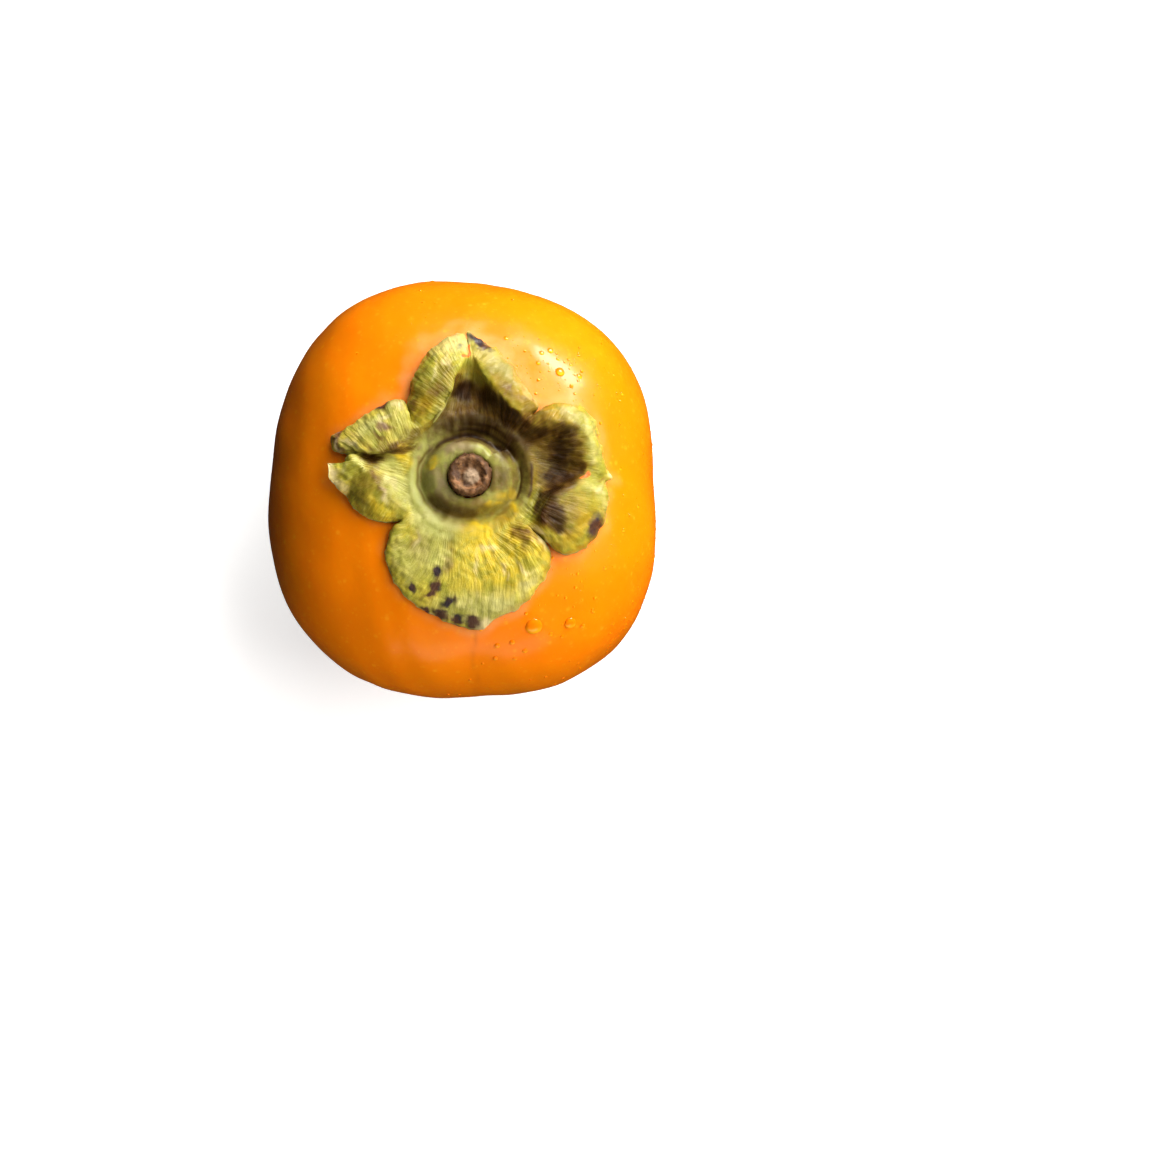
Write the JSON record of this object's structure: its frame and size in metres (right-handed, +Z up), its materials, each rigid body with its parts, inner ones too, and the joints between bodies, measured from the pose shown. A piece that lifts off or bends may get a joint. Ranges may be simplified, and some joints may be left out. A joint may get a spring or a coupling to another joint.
{
  "type": "persimmon",
  "caption": "Squat, rounded-square orange fruit with a lobed green calyx and a cut stem stub; rests on its blossom end.",
  "frame": {"origin": "on the surface the fruit stands on, under the middle of its outline", "axes": "+Z up through the calyx and stem, +Y along the longer way across the fruit, towards sepal_back; +X towards sepal_right"},
  "size_m": [0.074, 0.0798, 0.0632],
  "materials": {
    "skin": "satin",
    "calyx_disc": "satin",
    "sepal": "satin",
    "stem": "matte",
    "dry_style": "matte"
  },
  "bodies": {
    "root": {"fruit": "skin", "calyx_disc": "calyx_disc", "sepal_back": "sepal", "sepal_right": "sepal", "sepal_front": "sepal", "sepal_left": "sepal", "stem_stub": "stem", "style_scar": "dry_style"}
  },
  "joints": []
}
